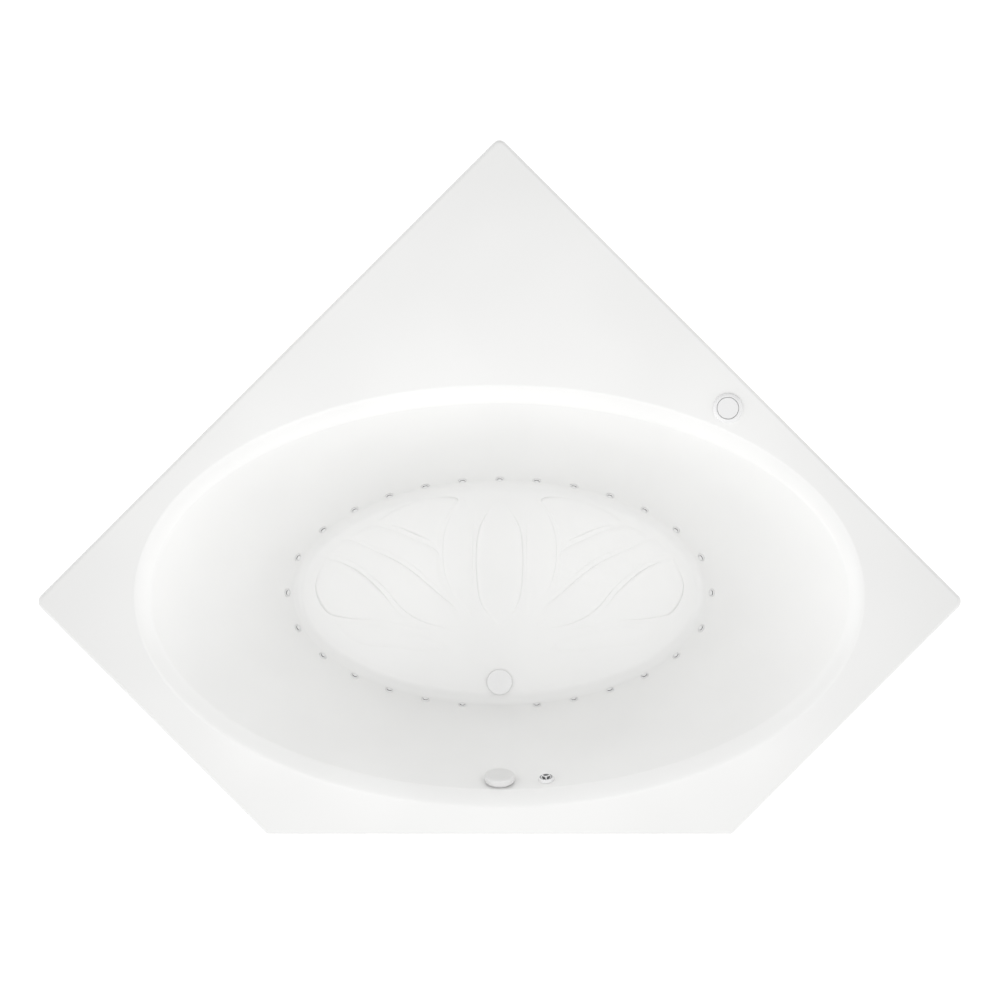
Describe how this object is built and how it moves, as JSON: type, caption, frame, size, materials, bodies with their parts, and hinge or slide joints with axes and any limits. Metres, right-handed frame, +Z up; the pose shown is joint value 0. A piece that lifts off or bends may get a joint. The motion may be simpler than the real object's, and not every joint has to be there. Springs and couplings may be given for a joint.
{
  "type": "corner bathtub",
  "caption": "Drop-in corner bath with an oval well, a flat deck with five sides, air injectors round the floor, a knob-worked stopper and a timber base.",
  "frame": {"origin": "on the floor under the middle of the bounding box", "axes": "+X to the right, +Y towards the back corner, +Z up"},
  "size_m": [2.1394, 1.6085, 0.59],
  "materials": {
    "acrylic": "white gloss sanitary acrylic",
    "aluminium": "cast aluminium",
    "black_plastic": "black moulded plastic",
    "brass": "turned brass",
    "clear_tube": "translucent flexible tube",
    "fibreglass": "sprayed fibreglass and resin, off-white, rough",
    "grey_pipe": "grey moulded plumbing plastic",
    "plywood": "plywood with visible plies at the edges",
    "rubber": "black rubber",
    "softwood": "planed softwood",
    "steel": "zinc-plated or stainless steel",
    "white_fitting": "white moulded fitting, satin gloss",
    "white_pipe": "white rigid pipe"
  },
  "bodies": {
    "tub": {"acrylic_shell": "acrylic", "fibreglass_backing": "fibreglass", "base_board": "plywood", "left_bearer": "softwood", "right_bearer": "softwood", "centre_bearer": "softwood", "blower_shelf": "plywood", "back_left_rail": "softwood", "back_right_rail": "softwood", "right_end_rail": "softwood", "left_end_rail": "softwood", "front_rail": "softwood", "injector_bodies": "white_fitting", "injector_caps": "white_fitting", "injector_gaskets": "rubber", "injector_nuts": "grey_pipe", "air_manifold": "white_pipe", "air_riser": "white_pipe", "air_loop": "white_pipe", "valve_housing": "grey_pipe", "valve_pin": "steel", "pipe_couplings": "white_pipe", "blower_housing": "black_plastic", "blower_screws": "steel", "blower_feet": "rubber", "blower_motor": "aluminium", "blower_cover": "black_plastic", "cord_gland": "black_plastic", "waste_flange": "white_fitting", "waste_gasket": "rubber", "waste_shoe": "grey_pipe", "waste_tee": "grey_pipe", "tailpiece": "white_pipe", "overflow_pipe": "white_pipe", "waste_pipe": "white_pipe", "slip_nuts": "grey_pipe", "overflow_flange": "white_fitting", "overflow_screws": "steel", "overflow_gasket": "rubber", "overflow_body": "grey_pipe", "drive_cable": "black_plastic", "nozzle_housing": "white_fitting", "nozzle_seat": "grey_pipe", "nozzle_gasket": "rubber", "nozzle_nut": "grey_pipe", "control_flange": "white_fitting", "control_bellows": "rubber", "control_gasket": "rubber", "control_nut": "grey_pipe", "air_barb": "steel", "air_tube": "clear_tube"},
    "knob": {"overflow_knob": "white_fitting"},
    "stopper": {"stopper": "white_fitting", "stopper_seal": "rubber"},
    "lever": {"lift_lever": "brass"},
    "push_face": {"control_face": "white_fitting"},
    "impeller": {"blower_impeller": "aluminium"},
    "flap": {"valve_flap": "grey_pipe"},
    "nozzle": {"nozzle_ball": "white_fitting"}
  },
  "joints": [
    {"name": "knob_turn", "type": "hinge", "parent": "tub", "child": "knob", "pos_m": [0, -0.68729, 0.524], "axis": [0, 0.9176, 0.3976], "range_deg": [0, 110]},
    {"name": "stopper_lift", "type": "slide", "parent": "tub", "child": "stopper", "axis": [0, 0, 1], "range_m": [0, 0.01]},
    {"name": "lever_lift", "type": "hinge", "parent": "tub", "child": "lever", "pos_m": [0, -0.45129, 0.0817], "axis": [-1, 0, 0], "range_deg": [0, 32.26]},
    {"name": "control_press", "type": "slide", "parent": "tub", "child": "push_face", "axis": [0, 0, -1], "range_m": [0, 0.004], "stiffness_N_per_m": 900, "springref_m": -0.001, "deforming": ["control_bellows"]},
    {"name": "impeller_spin", "type": "hinge", "parent": "tub", "child": "impeller", "pos_m": [-0.135, 0.39071, 0.1684], "axis": [0, 0, 1], "continuous": true},
    {"name": "flap_swing", "type": "hinge", "parent": "tub", "child": "flap", "pos_m": [0.02351, 0.31881, 0.3362], "axis": [0, -1, 0], "range_deg": [0, 60]},
    {"name": "nozzle_tilt", "type": "hinge", "parent": "tub", "child": "nozzle", "pos_m": [0.10871, -0.67938, 0.5256], "axis": [0.9969, 0.0782, 0], "range_deg": [-20, 20]}
  ],
  "couplings": [
    {"joint": "knob_turn", "follows": "stopper_lift", "rad_per_m": 191.99},
    {"joint": "lever_lift", "follows": "stopper_lift", "rad_per_m": 56.296}
  ]
}
